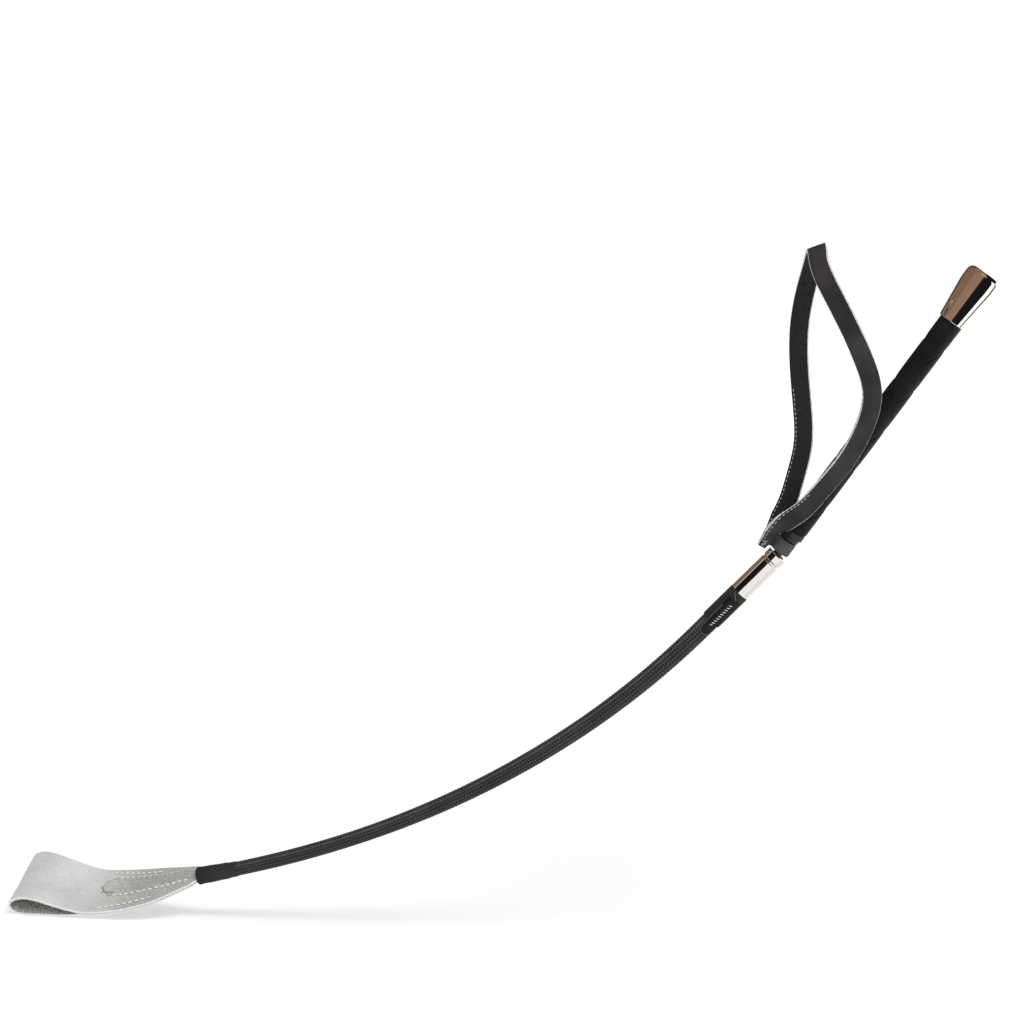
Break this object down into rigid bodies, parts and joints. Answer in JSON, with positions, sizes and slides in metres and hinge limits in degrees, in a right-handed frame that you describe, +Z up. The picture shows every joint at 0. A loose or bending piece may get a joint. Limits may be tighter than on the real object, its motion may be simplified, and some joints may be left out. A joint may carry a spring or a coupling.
{
  "type": "riding crop",
  "caption": "Riding crop with a flexible braided shaft, a leather-wrapped grip with metal end cap, a wrist strap and a folded leather keeper, held bent.",
  "frame": {"origin": "the middle of the grip, on the handle's axis", "axes": "+X from the keeper towards the handle, +Z up, Y across; the bent crop lies in the plane y = 0"},
  "size_m": [0.4551, 0.0441, 0.3207],
  "materials": {
    "cap_chrome": "polished",
    "ferrule_chrome": "polished",
    "grip_leather": "matt, spirally wrapped",
    "ring_plastic": "satin moulded",
    "core_plastic": "moulded",
    "glass_fibre": "pultruded glass-fibre rod",
    "padding": "cotton and foam padding",
    "braid": "braided nylon",
    "sleeve_weave": "woven, dense",
    "label_leather": "smooth",
    "binding_black": "smooth wound binding",
    "keeper_leather": "silver metallic outside, grey suede inside",
    "white_thread": "waxed thread",
    "strap_leather": "smooth grain outside, grey flesh side",
    "strap_thread": "waxed thread"
  },
  "bodies": {
    "handle": {"end_cap": "cap_chrome", "cap_bush": "ring_plastic", "handle_core": "core_plastic", "handle_wrap": "grip_leather", "handle_end_ring": "ring_plastic", "rod_butt": "glass_fibre"},
    "ferrule": {"ferrule": "ferrule_chrome", "ferrule_bush": "ring_plastic", "label_sleeve": "sleeve_weave", "label_patch": "label_leather", "rod_1": "glass_fibre", "padding_1": "padding", "braid_1": "braid"},
    "shaft_2": {"rod_2": "glass_fibre", "padding_2": "padding", "braid_2": "braid"},
    "shaft_3": {"rod_3": "glass_fibre", "padding_3": "padding", "braid_3": "braid"},
    "shaft_4": {"rod_4": "glass_fibre", "padding_4": "padding", "braid_4": "braid"},
    "shaft_5": {"rod_5": "glass_fibre", "padding_5": "padding", "braid_5": "braid"},
    "shaft_6": {"rod_6": "glass_fibre", "padding_6": "padding", "braid_6": "braid"},
    "shaft_7": {"rod_7": "glass_fibre", "padding_7": "padding", "braid_7": "braid"},
    "shaft_8": {"rod_8": "glass_fibre", "padding_8": "padding", "braid_8": "braid", "tip_binding": "binding_black", "keeper_upper": "keeper_leather", "keeper_lower": "keeper_leather", "keeper_pocket_stitching": "white_thread", "keeper_edge_stitching": "white_thread"},
    "keeper_loop": {"keeper_loop": "keeper_leather"},
    "strap_collar": {"strap_collar": "strap_leather"},
    "wrist_strap": {"wrist_strap": "strap_leather", "strap_stitching": "strap_thread"}
  },
  "joints": [
    {"name": "neck_flex", "type": "hinge", "parent": "handle", "child": "ferrule", "pos_m": [-0.04302, 0, -0.06144], "axis": [0, 1, 0], "range_deg": [-8.7, 6], "stiffness_Nm_per_rad": 24},
    {"name": "shaft_flex_1", "type": "hinge", "parent": "ferrule", "child": "shaft_2", "pos_m": [-0.07618, 0, -0.09614], "axis": [0, 1, 0], "range_deg": [-3.15, 2.27]},
    {"name": "shaft_flex_2", "type": "hinge", "parent": "shaft_2", "child": "shaft_3", "pos_m": [-0.10456, 0, -0.12302], "axis": [0, 1, 0], "range_deg": [-5.85, 4.13]},
    {"name": "shaft_flex_3", "type": "hinge", "parent": "shaft_3", "child": "shaft_4", "pos_m": [-0.1354, 0, -0.14702], "axis": [0, 1, 0], "range_deg": [-5.53, 3.91]},
    {"name": "shaft_flex_4", "type": "hinge", "parent": "shaft_4", "child": "shaft_5", "pos_m": [-0.16831, 0, -0.16812], "axis": [0, 1, 0], "range_deg": [-5.22, 3.69]},
    {"name": "shaft_flex_5", "type": "hinge", "parent": "shaft_5", "child": "shaft_6", "pos_m": [-0.2029, 0, -0.18632], "axis": [0, 1, 0], "range_deg": [-4.9, 3.47]},
    {"name": "shaft_flex_6", "type": "hinge", "parent": "shaft_6", "child": "shaft_7", "pos_m": [-0.23884, 0, -0.20168], "axis": [0, 1, 0], "range_deg": [-4.59, 3.26]},
    {"name": "shaft_flex_7", "type": "hinge", "parent": "shaft_7", "child": "shaft_8", "pos_m": [-0.27584, 0, -0.21431], "axis": [0, 1, 0], "range_deg": [-6.18, 4.35]},
    {"name": "keeper_flap", "type": "hinge", "parent": "shaft_8", "child": "keeper_loop", "pos_m": [-0.36662, 0, -0.23635], "axis": [0, 0.8988, 0.4384], "range_deg": [-35, 35], "stiffness_Nm_per_rad": 0.1},
    {"name": "strap_swivel", "type": "hinge", "parent": "handle", "child": "strap_collar", "pos_m": [-0.04302, 0, -0.06144], "axis": [0.5736, 0, 0.8192], "continuous": true},
    {"name": "strap_swing", "type": "hinge", "parent": "strap_collar", "child": "wrist_strap", "pos_m": [-0.04706, 0, -0.05396], "axis": [0, 1, 0], "range_deg": [-100, 6], "stiffness_Nm_per_rad": 0.05}
  ],
  "couplings": [
    {"joint": "shaft_flex_1", "follows": "neck_flex", "ratio": 0.3279},
    {"joint": "shaft_flex_2", "follows": "neck_flex", "ratio": 0.6379},
    {"joint": "shaft_flex_3", "follows": "neck_flex", "ratio": 0.6016},
    {"joint": "shaft_flex_4", "follows": "neck_flex", "ratio": 0.5653},
    {"joint": "shaft_flex_5", "follows": "neck_flex", "ratio": 0.5291},
    {"joint": "shaft_flex_6", "follows": "neck_flex", "ratio": 0.4928},
    {"joint": "shaft_flex_7", "follows": "neck_flex", "ratio": 0.6756}
  ]
}
